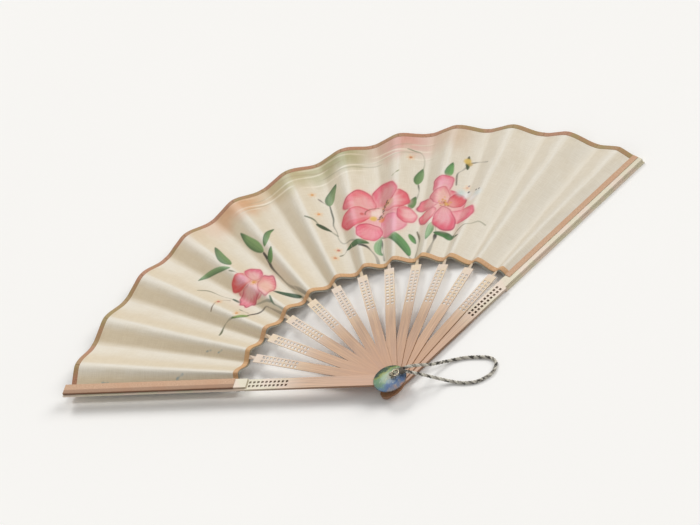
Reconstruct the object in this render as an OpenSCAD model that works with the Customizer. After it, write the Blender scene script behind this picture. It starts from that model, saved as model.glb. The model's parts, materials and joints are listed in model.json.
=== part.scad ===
// Folding hand fan, open: a pleated cloth leaf on eleven pierced sticks between two guards,
// riveted at the head under a fluted shell disc, with a wrist cord on a ring.
// The fan lies flat. Z is the rivet's axis, +Y points along the middle stick.
// Places along a stick are radii from the rivet; the front guard is the top of the stack.

/* [Spread] */
// Angle from one stick to the next, in degrees
stick_angle = 10.5; // [6:0.25:12]
// Angle from the rear guard to the first stick, in degrees
rear_gap_angle = 6.25; // [6:0.25:12]
// Angle from the last stick to the front guard, in degrees
front_gap_angle = 13.5; // [10:0.25:16]

/* [Sticks] */
// Thickness of a stick's blade
stick_t = 0.4; // [0.3:0.05:0.8]
// Running gap between two stacked sticks
stack_gap = 0.05; // [0.03:0.01:0.1]
// Width of a stick's blade
stick_w = 6.4; // [5:0.2:8]
// Radius where the blade ends and the slip behind the cloth begins
blade_end_r = 97; // [85:1:110]
// Distance from the rivet to the rounded tail of a stick
tail_r = 9.5; // [8:0.5:12]
// Width of the narrow slip behind the cloth
slip_w = 2.2; // [1.6:0.2:3.2]
// Thickness of the slip
slip_t = 0.2; // [0.15:0.05:0.3]

/* [Piercing] */
// Radius where the pierced pattern begins
fret_start_r = 66; // [50:1:72]
// Distance from one row of slots to the next
fret_pitch = 2.7; // [2.4:0.1:4]
// Length of a slot along the stick
slot_l = 1.6; // [1:0.1:2]
// Width of a slot across the stick
slot_w = 1.7; // [1:0.1:2]
// Width of the spine between the two lines of slots
spine_w = 1.2; // [0.8:0.1:1.6]

/* [Guards] */
// Width of a guard
guard_w = 8; // [6.4:0.2:10]
// Thickness of a guard at the head
guard_head_t = 1.6; // [1.2:0.1:2.4]
// Thickness of the rear guard behind the cloth
rear_guard_t = 3; // [2.8:0.1:4]
// Thickness of the front guard over the cloth
front_guard_t = 2.2; // [1.6:0.1:3]
// Width of the thin ledge along a guard's outer edge
ledge_w = 1.2; // [0.8:0.1:2]
// Thickness of the ledge
ledge_t = 1; // [0.6:0.1:1.4]
// How far the guards' tips pass the cloth's outer edge
guard_tip_over = 1; // [0:0.5:6]

/* [Leaf] */
// Distance from the blades' ends to the cloth's inner edge
cloth_start = 4.5; // [3:0.5:15]
// Radius of the cloth's outer edge
leaf_outer_r = 218; // [190:1:240]
// Height of a pleat, from valley to ridge
pleat_h = 4.7; // [2:0.1:4.8]
// Share of the stick angle that a stick's panel covers at the inner edge
inner_share = 0.37; // [0.34:0.01:0.46]
// Share of the stick angle that a stick's panel covers at the outer edge
outer_share = 0.48; // [0.44:0.01:0.5]
// Thickness of the cloth with its lining
cloth_t = 0.12; // [0.1:0.01:0.2]
// Gap between the cloth and the wood, where the glue is
glue_gap = 0.03; // [0.02:0.01:0.06]
// Gap along a fold between two panels
fold_gap = 0.15; // [0.1:0.05:0.3]
// Width of the cloth's end strip that lies on a guard
end_strip_w = 3.4; // [2:0.2:5]

/* [Rivet] */
// Diameter of the rivet's pin
pin_d = 3; // [2:0.1:4]
// Radial running gap between the pin and the sticks
pin_gap = 0.05; // [0.02:0.01:0.1]
// Diameter of the rear washer
washer_d = 7; // [5:0.5:8]
// Diameter of the shell disc
disc_d = 20.6; // [16:0.2:24]
// Thickness of the shell disc at its rim
disc_rim_t = 0.55; // [0.4:0.05:1.2]
// Height of the shell disc at its middle
disc_h = 1.55; // [1.2:0.05:2.4]
// Running gap between the front guard and the shell disc
disc_gap = 0.25; // [0.1:0.05:0.4]

/* [Cord] */
// Diameter of the wrist cord
cord_d = 2; // [1.6:0.1:2.4]
// Diameter of the wire of the eye and the ring
wire_d = 0.9; // [0.6:0.1:1]
// Middle diameter of the eye on the disc
eye_d = 2.6; // [2.4:0.1:3]
// Middle diameter of the ring
ring_d = 4.4; // [4:0.2:5]
// Distance from the rivet's axis to the eye
eye_x = 2.2; // [2:0.2:3]
// Length of the binding where the cord's ends meet
collar_l = 2.6; // [2:0.2:3]

/* [Hidden] */

stick_n = 11;
rear = stick_n + 1;
mid_stick = 6;
stack_pitch = stick_t + stack_gap;
front_underside_z = rear_guard_t + stick_n * stack_pitch + stack_gap;
front_relief = 0.35;
guard_step_r = blade_end_r - 4;
leaf_inner_r = blade_end_r + cloth_start;
guard_tip_r = leaf_outer_r + guard_tip_over;
front_top_z = front_underside_z + front_relief + front_guard_t;
head_top_z = front_underside_z + guard_head_t;
slip_end_r = leaf_outer_r - 6;
bore_d = pin_d + 2 * pin_gap;
disc_z = head_top_z + disc_gap;
eye_z = disc_z + disc_h + eye_d / 2 + wire_d / 2;
collar_x = eye_x + ring_d + wire_d / 2 + pin_gap;
fret_rows = floor((blade_end_r - 3 - fret_start_r) / fret_pitch);
round_fn = 64;

wood = "#d8a878";
pale_wood = "#dfcdb0";
silk = "#e8e0d2";
shell = "#6f9a94";
metal = "#b9b6ad";
cord_silver = "#b5b2aa";
whipping = "#3a352f";

// The centreline of the wrist cord, from one side of its binding round to the other
cord_path = [
    [collar_x + collar_l, 1.1, eye_z], [13, 2, 12.2], [18, 3.2, 9.4], [26, 4.7, 4.5],
    [36, 5.4, 1.6], [45, 4, 1], [53.5, 0.5, 1], [60, -3.6, 1], [62, -9, 1], [59, -14.5, 1],
    [54, -17, 1], [47.5, -17.6, 1], [40, -15, 1], [33.5, -11, 1.6], [26.5, -7.6, 4.5],
    [19.5, -5.2, 8.8], [13.5, -3, 11.9], [collar_x + collar_l, -1.1, eye_z]
];

// Direction of stick i; 0 is the front guard and 12 the rear guard
function stick_az(i) =
    i == 0 ? 90 + (mid_stick - 1) * stick_angle + front_gap_angle
    : i == rear ? 90 + (mid_stick - stick_n) * stick_angle - rear_gap_angle
    : 90 + (mid_stick - i) * stick_angle;

// Height of the upper face of stick i, where the cloth lies
function stick_top(i) = rear_guard_t + (rear - i) * stack_pitch;

// Directions of the two folds beside stick i, at radius r
function half_angle(r) =
    stick_angle / 2 * (inner_share + (outer_share - inner_share)
        * (r - leaf_inner_r) / (leaf_outer_r - leaf_inner_r));
function ridge_az(i, r) = 90 + (mid_stick - i) * stick_angle - half_angle(r);
function valley_az(i, r) = 90 + (mid_stick - i) * stick_angle + half_angle(r);

// Rise of a stick's panel across the stick, per millimetre
function cross_slope(r) = pleat_h / 2 / (r * half_angle(r) * PI / 180);

function polar(r, az, z) = [r * cos(az), r * sin(az), z];
function beside(r, az, offset, z) =
    [r * cos(az) - offset * sin(az), r * sin(az) + offset * cos(az), z];
function arc_shift(gap, r) = gap / r * 180 / PI;

cloth_z = glue_gap + cloth_t / 2;
leaf_steps = 6;
leaf_radii = concat(
    [for (s = [0:leaf_steps-1]) leaf_inner_r + s / leaf_steps * (slip_end_r - leaf_inner_r)],
    [slip_end_r, leaf_outer_r]);

function ridge(i, r, gap) =
    polar(r, ridge_az(i, r) + arc_shift(gap, r), stick_top(i) + cloth_z + pleat_h / 2);
function valley(i, r, gap) =
    polar(r, valley_az(i, r) + arc_shift(gap, r), stick_top(i) + cloth_z - pleat_h / 2);

// A thin closed sheet through rows of points, t thick along Z
module sheet(rows, t) {
    n = len(rows);
    m = len(rows[0]);
    top = [for (row = rows) for (p = row) p + [0, 0, t / 2]];
    bottom = [for (row = rows) for (p = row) p - [0, 0, t / 2]];
    half = n * m;
    function at(i, j) = i * m + j;
    faces = [
        for (i = [0:n-2]) for (j = [0:m-2]) each [
            [at(i, j), at(i+1, j), at(i+1, j+1)],
            [at(i, j), at(i+1, j+1), at(i, j+1)],
            [half + at(i, j), half + at(i+1, j+1), half + at(i+1, j)],
            [half + at(i, j), half + at(i, j+1), half + at(i+1, j+1)]
        ],
        for (i = [0:n-2]) each [
            [at(i, 0), half + at(i, 0), half + at(i+1, 0)],
            [at(i, 0), half + at(i+1, 0), at(i+1, 0)],
            [at(i, m-1), at(i+1, m-1), half + at(i+1, m-1)],
            [at(i, m-1), half + at(i+1, m-1), half + at(i, m-1)]
        ],
        for (j = [0:m-2]) each [
            [at(0, j), at(0, j+1), half + at(0, j+1)],
            [at(0, j), half + at(0, j+1), half + at(0, j)],
            [at(n-1, j), half + at(n-1, j), half + at(n-1, j+1)],
            [at(n-1, j), half + at(n-1, j+1), at(n-1, j+1)]
        ]
    ];
    polyhedron(concat(top, bottom), faces);
}

// Outline of a stick's blade along +X, w wide from its rounded tail to end_r
module blade_outline(w, end_r) {
    translate([-tail_r + w / 2, 0]) circle(d = w, $fn = round_fn);
    translate([-tail_r + w / 2, -w / 2]) square([end_r + tail_r - w / 2, w]);
}

// The two lines of slots in a blade, as a cutter
module fretwork(z, t) {
    for (row = [0:fret_rows-1]) for (side = [-1, 1])
        translate([fret_start_r + row * fret_pitch, side * (spine_w + slot_w) / 2 - slot_w / 2, z - 1])
            cube([slot_l, slot_w, t + 2]);
}

// A pierced blade along +X with the rivet's bore, its underside at z
module blade(w, end_r, z, t) {
    difference() {
        translate([0, 0, z]) linear_extrude(t) blade_outline(w, end_r);
        translate([0, 0, z - 1]) cylinder(d = bore_d, h = t + 2, $fn = round_fn);
        fretwork(z, t);
    }
}

// Point over one edge of stick i's slip: side 1 is the valley's side and -1 the ridge's
function slip_edge(i, r, side, lift) =
    beside(r, stick_az(i), side * slip_w / 2,
        stick_top(i) + lift - side * slip_w / 2 * (r <= blade_end_r ? 0 : cross_slope(r)));

// The slip of stick i: flat at the blade, then turned to lie along its panel
module slip(i)
    sheet([
        for (r = concat([blade_end_r - 2, blade_end_r], leaf_radii)) if (r <= slip_end_r)
            let (lift = -slip_t / 2 - (r <= blade_end_r ? stick_t / 4 : 0))
                [slip_edge(i, r, 1, lift), slip_edge(i, r, -1, lift)]
    ], slip_t);

module stick(i) color(wood) {
    rotate(stick_az(i)) blade(stick_w, blade_end_r, stick_top(i) - stick_t, stick_t);
    slip(i);
}

// A guard's bar behind or over the cloth: a core and a thin ledge on the outer side
module guard_bar(side, z, t) {
    length = guard_tip_r - guard_step_r;
    core_w = guard_w - ledge_w;
    translate([guard_step_r, side > 0 ? -guard_w / 2 : -guard_w / 2 + ledge_w, z])
        cube([length, core_w, t]);
    translate([guard_step_r, -guard_w / 2, z]) cube([length, guard_w, ledge_t]);
}

module rear_guard() color(pale_wood) rotate(stick_az(rear)) {
    blade(guard_w, guard_step_r + 1, rear_guard_t - guard_head_t, guard_head_t);
    guard_bar(-1, 0, rear_guard_t);
}

module front_guard() color(pale_wood) rotate(stick_az(0)) {
    blade(guard_w, guard_step_r + 1, front_underside_z, guard_head_t);
    guard_bar(1, front_underside_z + front_relief, front_guard_t);
}

// Panel i of the cloth, glued to stick i; panel 0 ends in a strip on the front guard
module leaf_panel(i) color(silk)
    sheet([
        for (r = leaf_radii) i == 0
            ? [
                beside(r, stick_az(0), end_strip_w - guard_w / 2, front_top_z + cloth_z),
                beside(r, stick_az(0), -guard_w / 2, front_top_z + cloth_z),
                ridge(0, r, fold_gap / 2)
            ]
            : [
                valley(i, r, -fold_gap / 2),
                slip_edge(i, r, 1, cloth_z),
                slip_edge(i, r, -1, cloth_z),
                ridge(i, r, fold_gap / 2)
            ]
    ], cloth_t);

// Panel of the cloth that folds between stick i and the next one; the last ends on the guard
module leaf_fold(i) color(silk)
    sheet([
        for (r = leaf_radii) i == stick_n
            ? [
                ridge(i, r, -fold_gap / 2),
                beside(r, stick_az(rear), guard_w / 2, rear_guard_t + cloth_z),
                beside(r, stick_az(rear), guard_w / 2 - end_strip_w, rear_guard_t + cloth_z)
            ]
            : [ridge(i, r, -fold_gap / 2), valley(i + 1, r, fold_gap / 2)]
    ], cloth_t);

module rivet_pin() color(metal)
    translate([0, 0, rear_guard_t - guard_head_t])
        cylinder(d = pin_d, h = disc_z - rear_guard_t + guard_head_t, $fn = round_fn);

module rear_washer() color(metal)
    cylinder(d = washer_d, h = rear_guard_t - guard_head_t, $fn = round_fn);

// Shallow dome on a plain rim
dome_r = (pow(disc_d / 2, 2) + pow(disc_h - disc_rim_t, 2)) / (2 * (disc_h - disc_rim_t));
function dome_z(r) = disc_z + disc_h - dome_r + sqrt(dome_r * dome_r - r * r);

module shell_disc() color(shell)
    translate([0, 0, disc_z])
        rotate_extrude($fn = round_fn) {
            square([disc_d / 2, disc_rim_t]);
            intersection() {
                translate([0, disc_h - dome_r]) circle(r = dome_r, $fn = 256);
                square([disc_d / 2, disc_h]);
            }
        }

module wire_ring(d) rotate_extrude($fn = round_fn) translate([d / 2, 0]) circle(d = wire_d, $fn = 24);

// The eye stands on the disc on a short foot
module cord_eye() color(metal) translate([eye_x, 0, 0]) {
    translate([0, 0, eye_z]) rotate([90, 0, 0]) wire_ring(eye_d);
    translate([0, 0, dome_z(eye_x - wire_d / 2)])
        cylinder(d = wire_d, h = eye_z - eye_d / 2 - dome_z(eye_x - wire_d / 2), $fn = 24);
}

module cord_ring() color(metal)
    translate([eye_x + ring_d / 2, 0, eye_z]) wire_ring(ring_d);

module cord_collar() color(whipping)
    translate([collar_x, 0, eye_z]) rotate([90, 0, 90])
        linear_extrude(collar_l) for (side = [-1, 1])
            translate([side * cord_d * 0.55, 0]) circle(d = cord_d + 0.4, $fn = 32);

// Smooth line through the cord's points, with n rings to a span
function spline(p, n) = [
    for (i = [0:len(p)-2]) for (s = [0:n-1])
        let (t = s / n, a = p[max(i-1, 0)], b = p[i], c = p[i+1], d = p[min(i+2, len(p)-1)])
            0.5 * (2*b + (c-a)*t + (2*a-5*b+4*c-d)*t*t + (3*b-3*c+d-a)*t*t*t),
    p[len(p)-1]
];

// A round tube of diameter d along the points, with flat ends
module tube(line, d, sides) {
    n = len(line);
    function along(i) =
        let (v = i == 0 || i == n-1 ? [1, 0, 0] : line[i+1] - line[i-1])
            (i == n-1 ? -1 : 1) * v / norm(v);
    rings = [
        for (i = [0:n-1])
            let (f = along(i), u = cross([0, 0, 1], f) / norm(cross([0, 0, 1], f)), v = cross(f, u))
                for (s = [0:sides-1])
                    line[i] + d / 2 * (cos(360*s/sides) * u + sin(360*s/sides) * v)
    ];
    polyhedron(rings, [
        [for (s = [0:sides-1]) s],
        for (i = [0:n-2]) for (s = [0:sides-1])
            [i*sides + s, (i+1)*sides + s, (i+1)*sides + (s+1) % sides, i*sides + (s+1) % sides],
        [for (s = [sides-1:-1:0]) (n-1)*sides + s]
    ]);
}

module wrist_cord() color(cord_silver) tube(spline(cord_path, 2), cord_d, 8);

rear_guard();
front_guard();
for (i = [1:stick_n])
    stick(i);
for (i = [0:stick_n])
    leaf_panel(i);
for (i = [0:stick_n])
    leaf_fold(i);
rivet_pin();
rear_washer();
shell_disc();
cord_eye();
cord_ring();
cord_collar();
wrist_cord();
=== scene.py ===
import json
import logging
import math
from dataclasses import dataclass, field
from enum import Enum
from typing import Optional, Sequence, Union

import bpy
import numpy as np
from mathutils import Matrix, Vector

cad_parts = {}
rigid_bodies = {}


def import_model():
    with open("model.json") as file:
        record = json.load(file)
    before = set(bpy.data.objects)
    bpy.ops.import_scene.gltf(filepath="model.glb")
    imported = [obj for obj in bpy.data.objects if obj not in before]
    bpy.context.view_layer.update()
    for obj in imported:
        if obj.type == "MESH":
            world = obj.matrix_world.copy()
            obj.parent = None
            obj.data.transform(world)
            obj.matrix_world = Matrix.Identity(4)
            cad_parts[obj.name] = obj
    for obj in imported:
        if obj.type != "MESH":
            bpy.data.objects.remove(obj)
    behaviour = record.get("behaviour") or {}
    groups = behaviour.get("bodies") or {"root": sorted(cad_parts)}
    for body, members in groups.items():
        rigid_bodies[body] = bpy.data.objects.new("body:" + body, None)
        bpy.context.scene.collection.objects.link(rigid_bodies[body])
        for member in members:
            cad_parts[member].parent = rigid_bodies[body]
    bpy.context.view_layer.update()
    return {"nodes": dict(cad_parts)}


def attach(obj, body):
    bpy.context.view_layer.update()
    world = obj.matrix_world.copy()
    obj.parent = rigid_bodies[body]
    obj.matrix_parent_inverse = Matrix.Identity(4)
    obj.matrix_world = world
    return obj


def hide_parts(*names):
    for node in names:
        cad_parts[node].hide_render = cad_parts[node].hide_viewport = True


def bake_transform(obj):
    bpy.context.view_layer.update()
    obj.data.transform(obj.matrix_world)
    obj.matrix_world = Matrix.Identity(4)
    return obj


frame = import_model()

MM = 0.001
Rgb = tuple[float, float, float]
Point = tuple[float, float]
log = logging.getLogger("hand_fan")


# ---------------------------------------------------------------- the fan's plan

@dataclass(frozen=True)
class FanPlan:
    """Sizes that the pieces share, in millimetres and degrees, with the design's own rules."""

    sticks: int = 11
    stick_angle: float = 10.5
    rear_az: float = 31.25
    front_az: float = 156.0
    stack_base: float = 3.0
    stack_pitch: float = 0.45
    cloth_lift: float = 0.09
    pleat_h: float = 4.7
    leaf_inner: float = 101.5
    leaf_outer: float = 218.0
    inner_share: float = 0.37
    outer_share: float = 0.48
    guard_w: float = 8.0
    front_top: float = 10.55

    def body(self, i: int) -> str:
        """Body of stick i; 0 is the front guard and sticks + 1 the rear guard."""
        if i == 0:
            return "front_guard"
        return "rear_guard" if i == self.sticks + 1 else f"stick_{i}"

    def stick_az(self, i: int) -> float:
        """Azimuth of stick i; 0 is the front guard and sticks + 1 the rear guard."""
        if i == 0:
            return self.front_az
        if i == self.sticks + 1:
            return self.rear_az
        return 90.0 + (6 - i) * self.stick_angle

    def stick_top(self, i: int) -> float:
        """Height of the top face of stick i."""
        return self.stack_base + (self.sticks + 1 - i) * self.stack_pitch

    def half_angle(self, r: np.ndarray) -> np.ndarray:
        """Half of the angle that a stick's own panel covers at radius r."""
        share = self.inner_share + (self.outer_share - self.inner_share) * (
            (r - self.leaf_inner) / (self.leaf_outer - self.leaf_inner))
        return self.stick_angle / 2 * share

    def polar(self, r: np.ndarray, az: np.ndarray, z: Union[float, np.ndarray]) -> np.ndarray:
        """Points at radius r, azimuth az and height z, as an array of three columns."""
        a = np.radians(az)
        return np.stack(np.broadcast_arrays(r * np.cos(a), r * np.sin(a), z), -1)

    def beside(self, r: np.ndarray, az: float, off: float, z: float) -> np.ndarray:
        """Points beside a guard's centreline, off to its left."""
        a = math.radians(az)
        x = r * math.cos(a) - off * math.sin(a)
        y = r * math.sin(a) + off * math.cos(a)
        return np.stack(np.broadcast_arrays(x, y, z), -1)

    def ridge(self, i: int, r: np.ndarray) -> np.ndarray:
        """The mountain fold on the right of stick i."""
        mid = 90.0 + (6 - i) * self.stick_angle
        z = self.stick_top(i) + self.cloth_lift + self.pleat_h / 2
        return self.polar(r, mid - self.half_angle(r), z)

    def valley(self, i: int, r: np.ndarray) -> np.ndarray:
        """The valley fold on the left of stick i."""
        mid = 90.0 + (6 - i) * self.stick_angle
        z = self.stick_top(i) + self.cloth_lift - self.pleat_h / 2
        return self.polar(r, mid + self.half_angle(r), z)


class Side(Enum):
    """The two kinds of panel in the pleated leaf."""

    STICK = "panel"
    FOLD = "fold"


# ---------------------------------------------------------------- node trees

class Val:
    """One output socket of a node tree; arithmetic on it adds Math nodes."""

    def __init__(self, tree: "Tree", socket: bpy.types.NodeSocket) -> None:
        """Keeps the socket and the tree it belongs to."""
        self.tree, self.socket = tree, socket

    def other(self, name: str) -> "Val":
        """Another output of the same node."""
        return Val(self.tree, self.socket.node.outputs[name])

    def math(self, operation: str, *values: Union["Val", float], clamp: bool = False) -> "Val":
        """A Math node on this value and the others.

        Args:
            operation: the Math node's operation.
            values: the second and third values, if any.
            clamp: keeps the result between 0 and 1.

        Returns:
            The node's output.
        """
        return self.tree.node("ShaderNodeMath", {"operation": operation, "use_clamp": clamp},
                              dict(enumerate((self,) + values)))

    def __add__(self, b: Union["Val", float]) -> "Val":
        """Sum."""
        return self.math("ADD", b)

    __radd__ = __add__

    def __mul__(self, b: Union["Val", float]) -> "Val":
        """Product."""
        return self.math("MULTIPLY", b)

    __rmul__ = __mul__

    def __sub__(self, b: Union["Val", float]) -> "Val":
        """Difference."""
        return self.math("SUBTRACT", b)

    def __rsub__(self, b: float) -> "Val":
        """Difference from a number."""
        return self.tree.node("ShaderNodeMath", {"operation": "SUBTRACT"}, {0: b, 1: self})

    def __truediv__(self, b: Union["Val", float]) -> "Val":
        """Quotient."""
        return self.math("DIVIDE", b)

    def between(self, low: float, high: float) -> "Val":
        """A smooth step from 0 at low to 1 at high."""
        return self.tree.node("ShaderNodeMapRange", {"interpolation_type": "SMOOTHSTEP"},
                              {"Value": self, "From Min": low, "From Max": high,
                               "To Min": 0.0, "To Max": 1.0})


class Tree:
    """A node tree that is filled one node at a time."""

    def __init__(self, tree: bpy.types.NodeTree) -> None:
        """Keeps the tree to fill."""
        self.tree = tree

    def node(self, kind: str, settings: Optional[dict] = None, inputs: Optional[dict] = None,
             out: Union[int, str] = 0) -> Val:
        """Adds one node.

        Args:
            kind: the node's type.
            settings: its own settings; "stops" gives a ramp's positions and colours.
            inputs: a value or a link for each named or numbered input.
            out: the output that is returned.

        Returns:
            The chosen output.
        """
        n = self.tree.nodes.new(kind)
        for key, value in (settings or {}).items():
            if key == "stops":
                ramp = n.color_ramp.elements
                while len(ramp) < len(value):
                    ramp.new(1.0)
                for element, (at, colour) in zip(ramp, value):
                    element.position, element.color = at, (*colour, 1.0)
            else:
                setattr(n, key, value)
        for key, value in (inputs or {}).items():
            if isinstance(value, Val):
                self.tree.links.new(value.socket, n.inputs[key])
            else:
                n.inputs[key].default_value = value
        return Val(self, n.outputs[out])

    def mix(self, factor: Union[Val, float], a: Union[Val, Rgb], b: Union[Val, Rgb],
            blend: str = "MIX") -> Val:
        """Mixes two colours."""
        full = [c if isinstance(c, Val) else (*c, 1.0) for c in (a, b)]
        return self.node("ShaderNodeMix", {"data_type": "RGBA", "blend_type": blend},
                         {0: factor, 6: full[0], 7: full[1]}, out=2)

    def noise(self, vector: Val, scale: float, detail: float = 3.0, rough: float = 0.55) -> Val:
        """A noise value from 0 to 1."""
        return self.node("ShaderNodeTexNoise", {}, {"Vector": vector, "Scale": scale,
                                                     "Detail": detail, "Roughness": rough})

    def stretch(self, vector: Val, scale: tuple[float, float, float], turn: float = 0.0) -> Val:
        """Turns a vector about Z, in degrees, and then scales each of its axes."""
        turned = self.node("ShaderNodeMapping", {}, {
            "Vector": vector, "Rotation": (0.0, 0.0, math.radians(turn))})
        return self.node("ShaderNodeMapping", {}, {"Vector": turned, "Scale": scale})

    def split(self, vector: Val) -> tuple[Val, Val, Val]:
        """The three parts of a vector."""
        x = self.node("ShaderNodeSeparateXYZ", {}, {0: vector})
        return x, x.other("Y"), x.other("Z")


def linear(r: float, g: float, b: float) -> Rgb:
    """A display colour, 0 to 255, as the linear colour that a shader takes."""
    def one(c: float) -> float:
        """One channel."""
        c /= 255.0
        return c / 12.92 if c <= 0.04045 else ((c + 0.055) / 1.055) ** 2.4
    return one(r), one(g), one(b)


# ---------------------------------------------------------------- finishes

@dataclass(frozen=True)
class Finish:
    """What every finish has: a name and the settings that are the same all over."""

    name: str
    roughness: float = 0.5
    metallic: float = 0.0
    sheen: float = 0.0
    coat: float = 0.0
    specular: float = 0.5

    def make(self) -> bpy.types.Material:
        """Builds the material.

        Returns:
            The material, with its colour, roughness and bump in nodes.
        """
        material = bpy.data.materials.new(self.name)
        material.use_nodes = True
        nodes = material.node_tree.nodes
        nodes.clear()
        tree = Tree(material.node_tree)
        colour, rough, height, depth = self.surface(tree)
        inputs = {"Base Color": colour, "Roughness": rough, "Metallic": self.metallic,
                  "Sheen Weight": self.sheen, "Coat Weight": self.coat,
                  "Coat Roughness": 0.2, "Specular IOR Level": self.specular,
                  "Sheen Roughness": 0.4}
        if height is not None:
            inputs["Normal"] = tree.node("ShaderNodeBump", {}, {
                "Strength": 0.6, "Distance": depth * MM, "Height": height})
        shader = tree.node("ShaderNodeBsdfPrincipled", {}, inputs)
        out = nodes.new("ShaderNodeOutputMaterial")
        material.node_tree.links.new(shader.socket, out.inputs["Surface"])
        return material

    def surface(self, tree: Tree) -> tuple[Val, Val, Optional[Val], float]:
        """Colour, roughness, bump height and bump depth in millimetres."""
        raise NotImplementedError


@dataclass(frozen=True)
class Silk(Finish):
    """Painted silk over a pale lining: a fine weave, slubs and a soft satin sheen."""

    def surface(self, tree: Tree) -> tuple[Val, Val, Optional[Val], float]:
        """The painting is in the Paint attribute; the weave follows the cloth's own UV map."""
        paint = tree.node("ShaderNodeAttribute", {"attribute_name": "Paint"}, out="Color")
        uv = tree.node("ShaderNodeUVMap", {"uv_map": "Cloth"})
        x, y, _ = tree.split(uv)
        weft = tree.noise(tree.stretch(uv, (0.12, 2.6, 1.0)), 1.0, 3.0)
        warp = tree.noise(tree.stretch(uv, (2.4, 0.1, 1.0)), 1.0, 2.0)
        slub = weft * 0.6 + warp * 0.4
        tone = tree.mix(slub.between(0.3, 0.72), linear(240, 237, 232), (1.0, 1.0, 1.0))
        age = tree.noise(tree.stretch(uv, (0.05, 0.03, 1.0)), 1.0, 4.0)
        aged = tree.mix(age.between(0.45, 0.8) * 0.4, tone, linear(243, 234, 216), "MULTIPLY")
        colour = tree.mix(1.0, paint, aged, "MULTIPLY")
        thread = (x * (2 * math.pi / 0.42)).math("SINE") * (y * (2 * math.pi / 0.42)).math("SINE")
        height = thread * 0.25 + slub * 0.9 + tree.noise(tree.stretch(uv, (0.35, 0.1, 1.0)), 1.0, 3.0) * 1.4
        rough = slub * 0.22 + (self.roughness - 0.11)
        return colour, rough, height, 0.09


@dataclass(frozen=True)
class Ribbon(Finish):
    """A narrow ribbed ribbon, with a worn and tarnished tone that drifts along it."""

    light: Rgb = (0.5, 0.3, 0.2)
    dark: Rgb = (0.3, 0.2, 0.1)
    drift: Rgb = (0.3, 0.3, 0.15)
    turn_shade: float = 0.0

    def surface(self, tree: Tree) -> tuple[Val, Val, Optional[Val], float]:
        """Ribs across the ribbon from its own UV map, slow changes along it, and, when asked for, painted shade where
        it turns down.
        """
        uv = tree.node("ShaderNodeUVMap", {"uv_map": "Cloth"})
        x, y, _ = tree.split(uv)
        place = tree.node("ShaderNodeTexCoord", {}, {}, out="Object")
        slow = tree.noise(place, 55.0, 2.0)
        fine = tree.noise(tree.stretch(uv, (0.9, 2.5, 1.0)), 1.0, 3.0)
        body = tree.mix(fine.between(0.25, 0.75), self.dark, self.light)
        colour = tree.mix(slow.between(0.42, 0.7) * 0.7, body, self.drift)
        if self.turn_shade:
            # Painted shade: darker over the outer half of the ribbon, darkest where it turns down the guard's side.
            turn_shade_mask = y.between(3.9, 4.6) * 0.5 + y.between(6.9, 7.5) * 0.45
            colour = tree.mix(turn_shade_mask * self.turn_shade, colour, linear(112, 72, 48))
        rib = (x * (2 * math.pi / 0.55)).math("SINE")
        rough = fine * 0.25 + (self.roughness - 0.1)
        return colour, rough, rib * 0.4 + fine * 0.6, 0.06


@dataclass(frozen=True)
class Wood(Finish):
    """Thin polished wood with its grain along the stick."""

    turn: float = 0.0
    light: Rgb = (0.7, 0.4, 0.2)
    dark: Rgb = (0.5, 0.3, 0.15)
    blush: Rgb = (0.75, 0.4, 0.28)
    far: Rgb = (0.7, 0.6, 0.4)
    faded: float = 0.5
    shift: float = 0.0

    def surface(self, tree: Tree) -> tuple[Val, Val, Optional[Val], float]:
        """Long fibres, pores, a warmer bloom near the head, and painted shade on the side faces."""
        place = tree.node("ShaderNodeTexCoord", {}, {}, out="Object")
        moved = tree.node("ShaderNodeVectorMath", {"operation": "ADD"},
                          {0: place, 1: (0.0, 0.0, self.shift * 0.013)})
        along = tree.stretch(moved, (40.0, 900.0, 700.0), -self.turn)
        fibre = tree.noise(along, 1.0, 4.0, 0.6)
        pore = tree.noise(tree.stretch(moved, (160.0, 3200.0, 900.0), -self.turn), 1.0, 2.0)
        cloud = tree.noise(moved, 60.0, 2.0)
        radius = tree.node("ShaderNodeVectorMath", {"operation": "LENGTH"}, {0: place}, out="Value")
        near = 1 - radius.between(0.012, 0.06)
        body = tree.mix(fibre.between(0.3, 0.72), self.dark, self.light)
        warm = tree.mix((near * 0.55 + cloud * 0.35).math("MULTIPLY", 0.9, clamp=True), body, self.blush)
        tint = tree.mix(tree.noise(moved, 95.0, 1.0).between(0.4, 0.62), linear(222, 206, 190), self.far)
        pale = tree.mix(radius.between(0.05, 0.085) * self.faded, warm, tint)
        pored = tree.mix((1 - pore.between(0.28, 0.42)) * 0.3, pale, self.dark)
        # Painted shade: faces that do not point up or down are darkened, less so far from the head.
        facing = tree.split(tree.node("ShaderNodeNewGeometry", {}, {}, out="Normal"))[2]
        side = 1 - facing.math("ABSOLUTE").between(0.35, 0.9)
        colour = tree.mix(side * (1 - radius.between(0.07, 0.11) * 0.8) * 0.6, pored, linear(104, 74, 52))
        rough = fibre * 0.2 + (self.roughness - 0.1)
        return colour, rough, fibre * 0.7 + pore * 0.3, 0.05


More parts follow.
